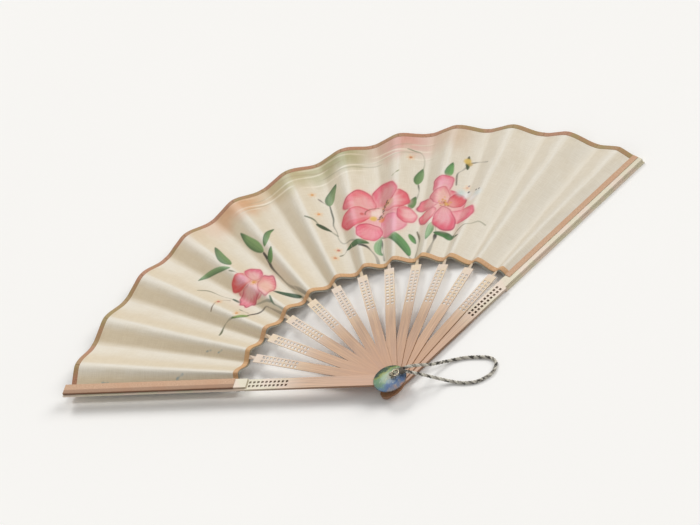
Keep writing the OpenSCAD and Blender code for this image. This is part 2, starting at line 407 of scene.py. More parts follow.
@dataclass(frozen=True)
class Shell(Finish):
    """Iridescent shell: bands of colour that change with the place on the disc."""

    def surface(self, tree: Tree) -> tuple[Val, Val, Optional[Val], float]:
        """Green round the far rim, going near black at its edge as painted shade, yellow-green and teal inside it,
        and blue on the near side.
        """
        place = tree.node("ShaderNodeTexCoord", {}, {}, out="Object")
        wobble = tree.noise(place, 260.0, 3.0) - 0.5
        x, y, _ = tree.split(place)
        away = y * 70.0 + x * -28.0 + wobble * 0.9
        side = x * 75.0 + y * 20.0 + wobble * 0.8
        # The darkest stops, near black round the far rim and dark green at the left edge, are painted shade.
        band = tree.node("ShaderNodeValToRGB", {"stops": [
            (0.1, linear(176, 132, 116)), (0.18, linear(130, 130, 142)), (0.27, linear(78, 108, 154)),
            (0.42, linear(104, 128, 152)), (0.52, linear(132, 128, 108)), (0.62, linear(112, 150, 112)),
            (0.72, linear(138, 148, 70)), (0.79, linear(56, 84, 58)), (0.88, linear(22, 38, 32))]},
            {"Fac": away * 0.5 + 0.5})
        cross = tree.node("ShaderNodeValToRGB", {"stops": [
            (0.0, linear(30, 60, 54)), (0.16, linear(60, 132, 132)), (0.36, linear(108, 160, 120)),
            (0.55, linear(150, 140, 116)), (0.75, linear(140, 122, 100)), (1.0, linear(104, 108, 124))]},
            {"Fac": side * 0.5 + 0.5})
        middle = (away.math("ABSOLUTE") * -1.0 + 1.0).between(0.62, 1.0)
        colour = tree.mix(middle * 0.62, band, cross)
        radius = tree.node("ShaderNodeVectorMath", {"operation": "LENGTH"},
                           {0: tree.stretch(place, (1.0, 1.0, 0.0))}, out="Value")
        streak = tree.noise(tree.stretch(place, (900.0, 300.0, 300.0), 30.0), 1.0, 3.0)
        glow = tree.mix(streak.between(0.58, 0.74) * 0.5, colour, linear(196, 206, 190))
        # Painted shade: the outer ring of the disc is darkened all round.
        edge = radius.between(0.0094, 0.0103)
        final = tree.mix(edge * 0.5, glow, linear(60, 70, 62))
        rough = streak * 0.2 + (self.roughness - 0.1)
        return final, rough, streak, 0.03


@dataclass(frozen=True)
class Metal(Finish):
    """Small drawn and polished metal fittings with fine scratches and tarnish."""

    tone: Rgb = (0.6, 0.55, 0.45)
    tarnish: Rgb = (0.2, 0.17, 0.13)

    def surface(self, tree: Tree) -> tuple[Val, Val, Optional[Val], float]:
        """Tarnish in the hollows and scratches all round."""
        place = tree.node("ShaderNodeTexCoord", {}, {}, out="Object")
        cloud = tree.noise(place, 700.0, 4.0)
        scratch = tree.noise(tree.stretch(place, (4000.0, 500.0, 500.0), 25.0), 1.0, 2.0)
        colour = tree.mix(cloud.between(0.42, 0.7) * 0.7, self.tone, self.tarnish)
        rough = cloud * 0.3 + scratch * 0.12 + (self.roughness - 0.15)
        return colour, rough, scratch, 0.02


@dataclass(frozen=True)
class Thread(Finish):
    """Plied thread: pale strands with grey ones and black flecks, or all dark."""

    pale: Rgb = (0.7, 0.7, 0.65)
    grey: Rgb = (0.3, 0.3, 0.28)
    fleck: Rgb = (0.02, 0.02, 0.02)
    flecks: float = 0.5

    def surface(self, tree: Tree) -> tuple[Val, Val, Optional[Val], float]:
        """Fibres along the strand, and flecks that come and go along it."""
        place = tree.node("ShaderNodeTexCoord", {}, {}, out="Object")
        strand = tree.node("ShaderNodeAttribute", {"attribute_name": "strand"}, out="Fac")
        cloud = tree.noise(place, 420.0, 3.0)
        fibre = tree.noise(tree.stretch(place, (2600.0, 2600.0, 2600.0)), 1.0, 2.0)
        base = tree.mix((strand * 0.9 + cloud * 0.5 - 0.3).math("MULTIPLY", 1.0, clamp=True),
                        self.pale, self.grey)
        spot = (cloud + strand * 0.1).between(0.66 - 0.1 * self.flecks, 0.74 - 0.1 * self.flecks)
        colour = tree.mix(spot * 0.9, base, self.fleck)
        rough = fibre * 0.25 + (self.roughness - 0.1)
        return colour, rough, fibre, 0.08


@dataclass(frozen=True)
class Floor(Finish):
    """The plain pale floor."""

    def surface(self, tree: Tree) -> tuple[Val, Val, Optional[Val], float]:
        """Almost white, with a trace of unevenness."""
        place = tree.node("ShaderNodeTexCoord", {}, {}, out="Object")
        cloud = tree.noise(place, 3.0, 2.0)
        colour = tree.mix(cloud, linear(250, 250, 250), linear(247, 247, 247))
        return colour, cloud * 0.05 + self.roughness, None, 0.0


# ---------------------------------------------------------------- the painting

@dataclass(frozen=True)
class Petal:
    """One painted petal, an egg shape with a ruffled rim, in leaf millimetres."""

    at: Point
    reach: float
    width: float
    turn: float
    pale: Rgb = linear(238, 182, 188)
    full: Rgb = linear(226, 112, 132)
    rim: Rgb = linear(178, 58, 92)
    dark_to: float = 90.0
    ruffle: float = 0.05
    lobes: int = 3
    heart: Point = (0.0, 0.0)
    taper: float = 0.2


@dataclass(frozen=True)
class Stroke:
    """One stroke of the brush: a stem or a leaf along a smooth line."""

    line: tuple[Point, ...]
    width: float
    tone: Rgb
    leaf: bool = False
    edge: Optional[Rgb] = None
    strength: float = 1.0


@dataclass(frozen=True)
class Dab:
    """A soft round touch of colour."""

    at: Point
    radius: float
    tone: Rgb
    strength: float = 0.9
    soft: float = 0.5


GREEN = linear(112, 152, 96)
GREEN_DEEP = linear(52, 92, 48)
TWIG = linear(66, 62, 50)
TWIG_SOFT = linear(122, 122, 98)
CORAL = linear(222, 88, 92)
WINE = linear(168, 44, 82)
OCHRE = linear(222, 160, 84)
UMBER = linear(78, 56, 36)


@dataclass
class LeafPainting:
    """Three flowers, their leaves and stems, small blossoms and washes along the outer edge."""

    plan: FanPlan
    silk: Rgb = linear(232, 227, 216)
    lining: Rgb = linear(226, 217, 200)
    seed: int = 7
    fuller: float = 1.06

    def flowers(self) -> list[Petal]:
        """The petals in the order in which they are painted."""
        left, middle, right = (-67.0, 123.0), (20.0, 148.0), (64.0, 133.0)
        return [
            Petal((-68, 122), 12.0, 10.0, 100, pale=linear(238, 190, 190), full=linear(226, 128, 142),
                  rim=linear(206, 96, 120), ruffle=0.03, heart=left, taper=0.0),
            Petal((20, 148), 17.0, 15.0, 60, pale=linear(238, 176, 184), full=linear(230, 120, 140),
                  rim=linear(220, 100, 126), ruffle=0.03, heart=middle, taper=0.0),
            Petal((63, 133), 12.5, 12.5, 90, pale=linear(240, 178, 182), full=linear(230, 118, 138),
                  rim=linear(214, 90, 116), ruffle=0.03, heart=right, taper=0.0),
            Petal((-71, 116), 9.2, 6.6, 228, pale=linear(236, 190, 200), full=linear(224, 120, 140),
                  rim=WINE, dark_to=235, ruffle=0.07, lobes=9, heart=left, taper=0.1),
            Petal((-75, 129), 7.0, 6.2, 168, pale=linear(226, 160, 178), full=CORAL, rim=linear(204, 66, 74),
                  dark_to=215, heart=left),
            Petal((-59.5, 119), 10.6, 5.4, 82, pale=linear(242, 200, 196), full=linear(226, 130, 142),
                  rim=WINE, dark_to=60, ruffle=0.06, lobes=5, heart=left, taper=0.0),
            Petal((-66, 132), 7.2, 4.9, 97, pale=linear(236, 186, 196), full=linear(222, 112, 140),
                  rim=linear(186, 62, 92), dark_to=70, heart=left),
            Petal((27, 133.5), 10.2, 8.0, 285, pale=linear(242, 178, 196), full=linear(240, 150, 176),
                  rim=linear(214, 110, 140), dark_to=110, ruffle=0.04, heart=middle, taper=0.25),
            Petal((38, 137.5), 7.8, 5.2, 278, pale=linear(244, 190, 196), full=linear(232, 112, 134),
                  rim=linear(196, 66, 96), dark_to=170, ruffle=0.06, lobes=2, heart=middle),
            Petal((34.5, 152), 8.6, 7.2, 22, pale=linear(240, 176, 184), full=linear(230, 104, 122),
                  rim=linear(200, 66, 88), dark_to=30, heart=middle),
            Petal((28, 163), 11.0, 8.2, 62, pale=linear(226, 158, 166), full=linear(224, 92, 118),
                  rim=linear(196, 60, 86), dark_to=140, ruffle=0.06, lobes=2, heart=middle),
            Petal((12, 163.5), 10.8, 8.6, 135, pale=linear(238, 176, 182), full=linear(234, 118, 134),
                  rim=linear(192, 70, 92), dark_to=120, ruffle=0.09, lobes=3, heart=middle),
            Petal((6.5, 150.5), 10.4, 7.8, 186, pale=linear(236, 160, 172), full=linear(232, 104, 124),
                  rim=linear(206, 60, 76), dark_to=225, ruffle=0.06, lobes=2, heart=middle),
            Petal((12, 133.5), 8.0, 7.6, 250, pale=linear(242, 160, 178), full=linear(234, 102, 132),
                  rim=linear(190, 54, 90), dark_to=80, ruffle=0.07, lobes=2, heart=(18, 141), taper=-0.1),
            Petal((53.5, 139.5), 8.2, 5.0, 152, pale=linear(236, 166, 172), full=linear(226, 104, 122),
                  rim=WINE, dark_to=150, ruffle=0.09, lobes=4, heart=right),
            Petal((50.5, 129), 6.6, 5.2, 205, pale=linear(240, 170, 176), full=linear(230, 100, 120),
                  rim=WINE, dark_to=200, ruffle=0.05, heart=right),
            Petal((66, 150.5), 8.2, 6.6, 72, pale=linear(238, 172, 190), full=linear(230, 118, 142),
                  rim=linear(184, 60, 90), dark_to=140, ruffle=0.07, lobes=4, heart=right),
            Petal((70.5, 120.5), 9.6, 6.2, -28, pale=linear(240, 164, 176), full=linear(228, 100, 124),
                  rim=linear(200, 70, 100), dark_to=-60, ruffle=0.05, heart=right),
            Petal((60, 121.5), 9.6, 6.4, 256, pale=linear(240, 176, 190), full=linear(228, 96, 122),
                  rim=WINE, dark_to=-80, ruffle=0.05, heart=right),
            Petal((62.5, 141), 7.6, 6.2, 104, pale=linear(240, 190, 186), full=linear(230, 140, 152),
                  rim=linear(196, 76, 104), dark_to=150, ruffle=0.07, lobes=4, heart=right),
            Petal((71, 134.5), 6.2, 5.0, 28, pale=linear(224, 104, 112), full=linear(214, 56, 76),
                  rim=WINE, dark_to=0, ruffle=0.05, heart=right),
        ]

    def strokes(self) -> list[Stroke]:
        """Stems first, then the leaves over them."""
        stems = [
            (((-57, 149), (-55, 141), (-54, 134), (-50, 123), (-46, 113), (-41, 106), (-36, 97)), 0.85, TWIG),
            (((-81, 142), (-77, 138), (-75, 134)), 0.45, TWIG_SOFT),
            (((-104, 136), (-97, 133), (-90, 125), (-83, 119), (-79, 114)), 0.4, TWIG_SOFT),
            (((-83, 119), (-79, 114), (-75, 110), (-69, 107), (-62, 104), (-59, 101)), 0.75, linear(58, 84, 66)),
            (((-59, 106), (-58, 99), (-55, 94), (-49, 85)), 0.6, linear(96, 122, 98)),
            (((-76, 96), (-70, 98), (-64, 101), (-61, 98), (-56, 91), (-52, 86)), 0.7, linear(74, 66, 56)),
            (((-96, 90), (-93, 97), (-89, 99), (-85, 99)), 0.6, linear(86, 92, 52)),
            (((-98, 112), (-96, 115), (-93, 118), (-88, 119), (-85, 118)), 0.4, linear(130, 110, 86)),
            (((-80, 105), (-75, 99)), 0.3, TWIG_SOFT),
            (((-36, 92), (-40, 99)), 0.5, TWIG),
            (((-8, 174), (-8, 166), (-8, 159), (-9, 153), (-8, 146), (-8, 139), (-6, 134), (-1, 133), (3, 128)),
             0.5, linear(98, 104, 92)),
            (((-25, 167), (-20, 161), (-17, 154), (-12, 148), (-8, 142)), 0.5, linear(92, 104, 76)),
            (((4, 123), (8, 120), (10, 116), (12, 110), (12, 103)), 0.85, linear(66, 64, 54)),
            (((18, 124), (17, 116), (16, 106)), 0.6, linear(84, 92, 76)),
            (((31, 104), (32, 99)), 0.6, linear(62, 74, 52)),
            (((-10, 122), (-7, 124), (-4, 128)), 0.4, TWIG_SOFT),
            (((41, 121), (41, 112), (38, 105), (35, 99)), 0.6, linear(112, 106, 80)),
            (((-14, 182), (-11, 177), (-8, 173)), 0.4, linear(120, 108, 104)),
            (((74, 148), (77, 157), (81, 160), (84, 162)), 0.45, linear(92, 96, 84)),
            (((88, 165), (93, 163), (98, 158)), 0.4, linear(84, 80, 60)),
            (((62, 106), (67, 108), (71, 108), (75, 107), (80, 108), (83, 105)), 0.45, linear(110, 118, 80)),
            (((54, 119), (52, 109)), 0.45, linear(120, 140, 110)),
            (((52, 110), (49, 104), (43, 94)), 0.9, linear(58, 60, 50)),
            (((52, 196), (56, 193), (59, 191), (60, 186), (59, 180), (57, 175)), 0.4, linear(136, 142, 116)),
            (((51, 163), (50, 156), (47, 150)), 0.45, linear(108, 112, 96)),
            (((42, 178), (37, 176)), 0.5, linear(150, 154, 112)),
            (((-106, 80), (-103, 79)), 0.4, linear(150, 176, 190)),
            (((-99, 75), (-96, 75)), 0.35, linear(150, 176, 190)),
            (((-176, 88), (-172, 86)), 0.5, linear(168, 190, 204)),
            (((-128, 66), (-123, 66)), 0.5, linear(168, 190, 204)),
            (((-186, 82), (-182, 81)), 0.5, linear(168, 190, 204)),
        ]
        leaves = [
            (((-79, 147), (-84, 156), (-87, 169)), 2.7, GREEN, GREEN_DEEP),
            (((-80, 144), (-90, 148), (-98, 149), (-103, 148)), 2.1, linear(128, 166, 118), GREEN_DEEP),
            (((-57, 150), (-61, 158), (-65, 166), (-69, 176)), 3.0, linear(134, 174, 116), GREEN_DEEP),
            (((-55, 153), (-53, 159), (-51, 164), (-47, 168)), 2.0, GREEN, GREEN_DEEP),
            (((-54, 138), (-53, 144), (-51, 150)), 1.8, linear(110, 156, 92), GREEN_DEEP),
            (((-40, 99), (-46, 104), (-52, 108), (-57, 111)), 1.7, linear(52, 92, 62), linear(34, 62, 44)),
            (((-75, 95), (-80, 97), (-86, 99)), 1.1, linear(128, 162, 78), linear(84, 104, 44)),
            (((32, 102), (31, 109), (28, 117), (24, 124), (17, 128)), 2.9, linear(98, 152, 92), linear(44, 92, 48)),
            (((18, 127), (15, 121), (14, 115), (16, 111)), 2.1, linear(150, 188, 146), linear(70, 118, 70)),
            (((36, 120), (38, 111)), 1.5, linear(96, 150, 84), GREEN_DEEP),
            (((50, 163), (53, 169), (57, 176)), 2.8, linear(112, 150, 92), linear(66, 104, 60)),
            (((41, 142), (44, 147), (47, 152)), 2.0, linear(104, 140, 84), linear(70, 100, 60)),
            (((-8, 173), (-6, 181), (0, 189)), 3.3, linear(128, 160, 112), linear(58, 92, 52)),
            (((-19, 156), (-15, 151), (-11, 147)), 1.4, linear(56, 78, 40), linear(36, 56, 30)),
            (((10, 123), (4, 126), (-1, 128), (-5, 127)), 2.3, linear(72, 116, 62), linear(38, 76, 36)),
            (((71, 156), (73, 161), (77, 167)), 2.6, linear(110, 166, 98), linear(66, 110, 62)),
            (((52, 120), (49, 114), (45, 107)), 2.4, linear(156, 194, 148), linear(96, 136, 92)),
            (((51, 111), (57, 109), (60, 105), (65, 102)), 2.2, linear(62, 118, 56), linear(30, 76, 30)),
            (((84, 160), (86, 166), (88, 171)), 1.2, linear(64, 86, 46), linear(40, 58, 30)),
        ]
        return ([Stroke(tuple(map(tuple, l)), w, c) for l, w, c in stems]
                + [Stroke(tuple(map(tuple, l)), w, c, True, e) for l, w, c, e in leaves])

    def dabs(self) -> list[Dab]:
        """Stamens, small blossoms and buds."""
        rng = np.random.default_rng(self.seed)
        found = [Dab((-67, 123), 1.6, linear(232, 178, 92), 0.95), Dab((-67, 123), 0.8, linear(206, 130, 50), 0.8)]
        for k in range(9):
            a = math.radians(40 * k + 12)
            found.append(Dab((-67 + 2.4 * math.cos(a), 123 + 2.2 * math.sin(a)), 0.6, linear(222, 150, 112), 0.6))
        found += [Dab((19, 150), 4.2, linear(242, 222, 214), 0.85, 0.8),
                  Dab((23, 152), 3.4, linear(240, 216, 206), 0.7, 0.8),
                  Dab((17, 146), 2.4, linear(228, 190, 84), 0.9), Dab((22, 142.5), 2.2, linear(232, 128, 66), 0.85),
                  Dab((11, 151), 1.3, linear(204, 70, 62), 0.7), Dab((30, 153), 3.2, linear(232, 196, 158), 0.7, 0.8)]
        for k in range(30):
            t = k / 29
            x, y = 29 - 9 * t ** 1.6, 155 - 10 * t + 1.5 * math.sin(5 * t)
            x, y = x + rng.normal(0, 0.9), y + rng.normal(0, 0.9)
            found.append(Dab((x, y), rng.uniform(0.4, 0.75), UMBER if k % 4 else OCHRE, 0.9))
        for k in range(14):
            a = math.radians(60 + 9 * k)
            found.append(Dab((19 + 6.2 * math.cos(a), 150 + 5.2 * math.sin(a)), 0.42, linear(150, 84, 66), 0.8))
        for k in range(26):
            found.append(Dab((64.5 + rng.normal(0, 1.9), 134.5 + rng.normal(0, 1.9)), rng.uniform(0.4, 0.8),
                             (OCHRE, linear(226, 178, 96), linear(184, 112, 58))[k % 3], 0.85))
        for x, y, tone in ((-17, 187, OCHRE), (-16, 166, linear(232, 158, 82)), (-10, 128, linear(206, 112, 92)),
                           (-13, 120, linear(214, 140, 96)), (52, 188, linear(206, 128, 70)), (-82, 101, OCHRE),
                           (-92, 118, linear(204, 110, 98)), (80, 144, linear(226, 178, 150))):
            found.append(Dab((x, y), 1.1, tone, 0.95))
            for k in range(5):
                a = math.radians(72 * k + 20)
                found.append(Dab((x + 1.9 * math.cos(a), y + 1.9 * math.sin(a)), 1.0,
                                 linear(240, 206, 168), 0.55, 0.9))
        found += [Dab((86, 167), 2.5, linear(224, 194, 104), 0.95, 0.4),
                  Dab((87, 164), 1.6, linear(200, 168, 84), 0.8),
                  Dab((79, 137), 3.4, linear(236, 240, 246), 0.9, 0.7),
                  Dab((75, 141), 3.2, linear(196, 220, 222), 0.7, 0.9),
                  Dab((85, 133), 3.4, linear(214, 226, 230), 0.75, 0.9),
                  Dab((81, 131), 2.8, linear(240, 242, 248), 0.8, 0.8),
                  Dab((80, 139.5), 0.8, linear(40, 40, 56), 0.95), Dab((81.5, 145), 0.7, linear(110, 104, 130), 0.8),
                  Dab((85, 136.5), 0.6, linear(64, 40, 34), 0.95), Dab((87, 135.5), 0.55, linear(64, 40, 34), 0.95)]
        return found

    @staticmethod
    def smooth(line: Sequence[Point], per: int = 6) -> np.ndarray:
        """A smooth line through the points.

        Args:
            line: the points.
            per: pieces between two points.

        Returns:
            The line's own points, closer together.
        """
        p = np.array(line, float)
        p = np.vstack([2 * p[0] - p[1], p, 2 * p[-1] - p[-2]])
        out = []
        for a, b, c, d in zip(p, p[1:], p[2:], p[3:]):
            t = np.linspace(0, 1, per, endpoint=False)[:, None]
            out.append(0.5 * (2 * b + (c - a) * t + (2 * a - 5 * b + 4 * c - d) * t ** 2
                              + (3 * b - a - 3 * c + d) * t ** 3))
        return np.vstack(out + [p[-2:-1]])

    @staticmethod
    def step(x: np.ndarray, low: float, high: float) -> np.ndarray:
        """A smooth step from 0 at low to 1 at high."""
        t = np.clip((x - low) / (high - low), 0, 1)
        return t * t * (3 - 2 * t)

    def wash(self, xy: np.ndarray, colour: np.ndarray) -> np.ndarray:
        """Hazy colours and pale streaks near the outer edge, over the middle of the leaf."""
        r, az = np.hypot(xy[:, 0], xy[:, 1]), np.degrees(np.arctan2(xy[:, 1], xy[:, 0]))
        drift = 2.4 * np.sin(az * 0.9) + 1.4 * np.sin(az * 2.3 + 1)
        rim = self.step(r + drift, 190, 210)
        for mid, spread, tone, amount in ((108, 7, linear(222, 172, 132), 0.9), (98, 6, linear(196, 190, 150), 0.85),
                                          (88, 7, linear(172, 174, 128), 0.9), (76, 6, linear(218, 160, 152), 0.9),
                                          (67, 4, linear(214, 186, 160), 0.6)):
            mask = rim * np.exp(-((az - mid) / spread) ** 2) * amount
            colour += (np.array(tone) - colour) * mask[:, None]
        window = self.step(az, 68, 74) * (1 - self.step(az, 104, 112))
        for k, (at, wide, tone, amount) in enumerate((
                (196.5, 0.7, linear(244, 240, 230), 0.8), (198.5, 0.45, linear(150, 152, 126), 0.5),
                (201, 0.8, linear(246, 242, 232), 0.8), (203.5, 0.5, linear(168, 166, 138), 0.45),
                (206, 0.7, linear(244, 240, 226), 0.7), (209, 0.6, linear(172, 152, 128), 0.45),
                (211.5, 0.6, linear(240, 230, 214), 0.6))):
            line = at + 1.6 * np.sin(np.radians(az * (7 + k)) + k) + 0.22 * (az - 90)
            gaps = self.step(np.sin(np.radians(az * 17 + 60 * k)), -0.55, 0.1)
            mask = np.exp(-((r - line) / wide) ** 2) * window * amount * gaps
            colour += (np.array(tone) - colour) * mask[:, None]
        return colour

    def petal(self, p: Petal, xy: np.ndarray, colour: np.ndarray) -> None:
        """Paints one petal in place."""
        box = np.hypot(xy[:, 0] - p.at[0], xy[:, 1] - p.at[1]) < max(p.reach, p.width) * 1.35
        q = xy[box] - np.array(p.at)
        a = math.radians(p.turn)
        t = (q[:, 0] * math.cos(a) + q[:, 1] * math.sin(a)) / (p.reach * self.fuller)
        s = (-q[:, 0] * math.sin(a) + q[:, 1] * math.cos(a)) / (p.width * self.fuller)
        s = s / (1 + p.taper * np.clip(t, -1.2, 1.2))
        around = np.arctan2(s, t)
        rho = np.hypot(s, t) * (1 + p.ruffle * np.cos(p.lobes * around + 0.6) + 0.022 * np.cos(7 * around + p.turn))
        soft = 0.45 / min(p.reach, p.width)
        mask = 1 - self.step(rho, 1 - soft, 1 + soft)
        glow = np.exp(-((rho - 1) / 0.16) ** 2) * (rho > 1) * 0.35
        home = np.hypot(xy[box][:, 0] - p.heart[0], xy[box][:, 1] - p.heart[1]) if p.heart != (0.0, 0.0) else rho
        ray = np.arctan2(xy[box][:, 1] - p.heart[1], xy[box][:, 0] - p.heart[0])
        vein = 0.5 + 0.5 * np.sin(ray * 26 + 2 * np.sin(home * 0.4))
        facing = np.cos(np.arctan2(q[:, 1], q[:, 0]) - math.radians(p.dark_to))
        depth = self.step(rho + 0.25 * facing, 0.25, 1.05)
        full = np.clip(depth + 0.24 * (vein - 0.5), 0, 1)[:, None]
        tone = np.array(p.pale) + (np.array(p.full) - np.array(p.pale)) * full
        base = self.step(home, 9.0, 3.0) if p.heart != (0.0, 0.0) else 0 * rho
        tone += (np.array(linear(240, 204, 200)) - tone) * (base * 0.4)[:, None]
        line = np.exp(-((rho - 0.95) / (0.55 * soft + 0.03)) ** 2) * (0.5 + 0.45 * np.clip(facing, 0, 1))
        tone += (np.array(p.rim) - tone) * line[:, None]
        picked = colour[box]
        picked += (np.array(linear(240, 206, 200)) - picked) * glow[:, None]
        picked += (tone - picked) * mask[:, None]
        colour[box] = picked

    def stroke(self, s: Stroke, xy: np.ndarray, colour: np.ndarray) -> None:
        """Paints one stem or leaf in place."""
        line = self.smooth(s.line)
        reach = s.width + 1.5
        low, high = line.min(0) - reach, line.max(0) + reach
        box = ((xy > low) & (xy < high)).all(1)
        q = xy[box]
        best = np.full(len(q), 1e9)
        where = np.zeros(len(q))
        side = np.zeros(len(q))
        n = len(line) - 1
        for k, (a, b) in enumerate(zip(line, line[1:])):
            d = b - a
            t = np.clip(((q - a) @ d) / max(d @ d, 1e-9), 0, 1)
            gap = q - a - t[:, None] * d
            far = np.hypot(gap[:, 0], gap[:, 1])
            near = far < best
            best = np.where(near, far, best)
            where = np.where(near, (k + t) / n, where)
            side = np.where(near, (d[0] * gap[:, 1] - d[1] * gap[:, 0]) / max(np.hypot(*d), 1e-6), side)
        if s.leaf:
            wide = s.width * np.sin(np.pi * np.clip(where, 0, 1) ** 0.8) ** 0.75 + 0.22
            mask = 1 - self.step(best, wide - 0.35, wide + 0.35)
            tone = np.array(s.tone)[None] * np.ones((len(q), 1))
            shade = self.step(side / np.maximum(wide, 0.3), -0.1, 0.9)
            tone = tone + (np.array(s.edge) - tone) * (0.7 * shade)[:, None]
            rib = np.exp(-(best / 0.35) ** 2) * 0.35 * (s.width > 1.5)
            tone = tone + (np.array(s.edge) - tone) * rib[:, None]
            tip = self.step(where, 0.72, 1.0) * 0.75
            tone = tone + (np.array(s.edge) - tone) * tip[:, None]
        else:
            wide = s.width * (0.75 + 0.35 * np.sin(where * 9))
            mask = (1 - self.step(best, wide - 0.3, wide + 0.4)) * s.strength
            mask *= 0.72 + 0.28 * np.sin(where * 5 + 1)
            tone = np.array(s.tone)[None] * np.ones((len(q), 1))
        picked = colour[box]
        picked += (tone - picked) * mask[:, None]
        colour[box] = picked

    def dab(self, d: Dab, xy: np.ndarray, colour: np.ndarray) -> None:
        """Paints one touch in place."""
        far = np.hypot(xy[:, 0] - d.at[0], xy[:, 1] - d.at[1])
        box = far < d.radius * 1.6 + 0.6
        mask = (1 - self.step(far[box], d.radius * (1 - d.soft), d.radius * (1 + 0.5 * d.soft) + 0.2)) * d.strength
        picked = colour[box]
        picked += (np.array(d.tone) - picked) * mask[:, None]
        colour[box] = picked

    def colours(self, xy: np.ndarray) -> np.ndarray:
        """The painted colour of each point.

        Args:
            xy: plan positions in millimetres, two columns.

        Returns:
            Linear colours, three columns.
        """
        colour = np.ones((len(xy), 3)) * np.array(self.silk)
        tint = 0.5 + 0.5 * np.sin(xy[:, 0] * 0.05 + 1.3) * np.sin(xy[:, 1] * 0.043)
        colour *= (0.965 + 0.035 * tint)[:, None]
        colour = self.wash(xy, colour)
        for s in self.strokes():
            self.stroke(s, xy, colour)
        for p in self.flowers():
            self.petal(p, xy, colour)
        for d in self.dabs():
            self.dab(d, xy, colour)
        return colour


# ---------------------------------------------------------------- meshes

def polygons(name: str, points: np.ndarray, faces: Sequence[Sequence[int]],
             material: bpy.types.Material, smooth: bool = True) -> bpy.types.Object:
    """A mesh object from points in millimetres.

    Args:
        name: the object's name.
        points: three columns, in millimetres.
        faces: corner numbers of each face.
        material: the finish.
        smooth: shades the faces smooth.

    Returns:
        The object, at the origin.
    """
    mesh = bpy.data.meshes.new(name)
    mesh.from_pydata((points * MM).tolist(), [], faces)
    mesh.validate()
    mesh.polygons.foreach_set("use_smooth", [smooth] * len(mesh.polygons))
    mesh.materials.append(material)
    obj = bpy.data.objects.new(name, mesh)
    bpy.context.scene.collection.objects.link(obj)
    return obj


def grid_faces(rows: int, cols: int, start: int = 0, closed: bool = False) -> np.ndarray:
    """The quads of a grid of points.

    Args:
        rows: points one way.
        cols: points the other way.
        start: number of the first point.
        closed: joins the last column to the first.

    Returns:
        Four corner numbers for each quad.
    """
    i, j = np.meshgrid(np.arange(rows - 1), np.arange(cols if closed else cols - 1), indexing="ij")
    k = (j + 1) % cols
    a, b, c, d = i * cols + j, i * cols + k, (i + 1) * cols + k, (i + 1) * cols + j
    return np.stack([a, b, c, d], -1).reshape(-1, 4) + start


def mark_sharp(obj: bpy.types.Object, rim: np.ndarray, group: np.ndarray) -> None:
    """Marks the edges that run round the rims of a thin shell as sharp.

    Args:
        obj: the shell.
        rim: true for each point on a rim.
        group: which rim a point is on.
    """
    mesh = obj.data
    ends = np.zeros(len(mesh.edges) * 2, int)
    mesh.edges.foreach_get("vertices", ends)
    a, b = ends.reshape(-1, 2).T
    sharp = mesh.attributes.new("sharp_edge", "BOOLEAN", "EDGE")
    sharp.data.foreach_set("value", (rim[a] & rim[b] & (group[a] == group[b])))


def thin_shell(name: str, middle: np.ndarray, thickness: float, uv: np.ndarray,
               material: bpy.types.Material) -> bpy.types.Object:
    """A thin closed shell about a grid of points.

    Args:
        name: the object's name.
        middle: the grid's points, rows by columns by three, in millimetres.
        thickness: the wall, in millimetres.
        uv: the grid's own two coordinates, in millimetres.
        material: the finish.

    Returns:
        The shell, upper face first.
    """
    rows, cols = middle.shape[:2]
    n = rows * cols
    across = np.cross(middle[1, 0] - middle[0, 0], middle[0, 1] - middle[0, 0])
    up = across[2] > 0
    lift = np.array([0, 0, thickness / 2])
    points = np.vstack([(middle + lift).reshape(-1, 3), (middle - lift).reshape(-1, 3)])
    top = grid_faces(rows, cols)
    top = top[:, ::-1] if up else top
    under = top[:, ::-1] + n
    loop = np.concatenate([np.arange(cols), np.arange(1, rows) * cols + cols - 1,
                           (rows - 1) * cols + np.arange(cols - 2, -1, -1), np.arange(rows - 2, 0, -1) * cols])
    nxt = np.roll(loop, -1)
    wall = np.stack([loop, nxt, nxt + n, loop + n], -1)
    wall = wall if up else wall[:, ::-1]
    obj = polygons(name, points, np.vstack([top, under, wall]).tolist(), material)
    rim = np.zeros(2 * n, bool)
    rim[loop] = rim[loop + n] = True
    mark_sharp(obj, rim, np.arange(2 * n) >= n)
    put_uv(obj, np.vstack([uv.reshape(-1, 2)] * 2))
    return obj


def put_uv(obj: bpy.types.Object, uv: np.ndarray) -> None:
    """Gives the mesh its Cloth map, two coordinates in millimetres for each point."""
    mesh = obj.data
    corner = np.zeros(len(mesh.loops), int)
    mesh.loops.foreach_get("vertex_index", corner)
    mesh.uv_layers.new(name="Cloth").data.foreach_set("uv", uv[corner].astype(np.float32).ravel())


def put_colour(obj: bpy.types.Object, colour: np.ndarray) -> None:
    """Gives each point of the mesh its painted colour."""
    layer = obj.data.color_attributes.new("Paint", "FLOAT_COLOR", "POINT")
    full = np.hstack([colour, np.ones((len(colour), 1))]).astype(np.float32)
    layer.data.foreach_set("color", full.ravel())


# ---------------------------------------------------------------- the pleated leaf

@dataclass
class Panel:
    """One panel of the leaf: its key lines from one fold to the other."""

    name: str
    lines: list
    turns: tuple[bool, bool]
    columns: list
    bodies: tuple[str, ...]
    nodes: tuple[str, ...]
    hung_on: tuple[str, ...]
    side: Side


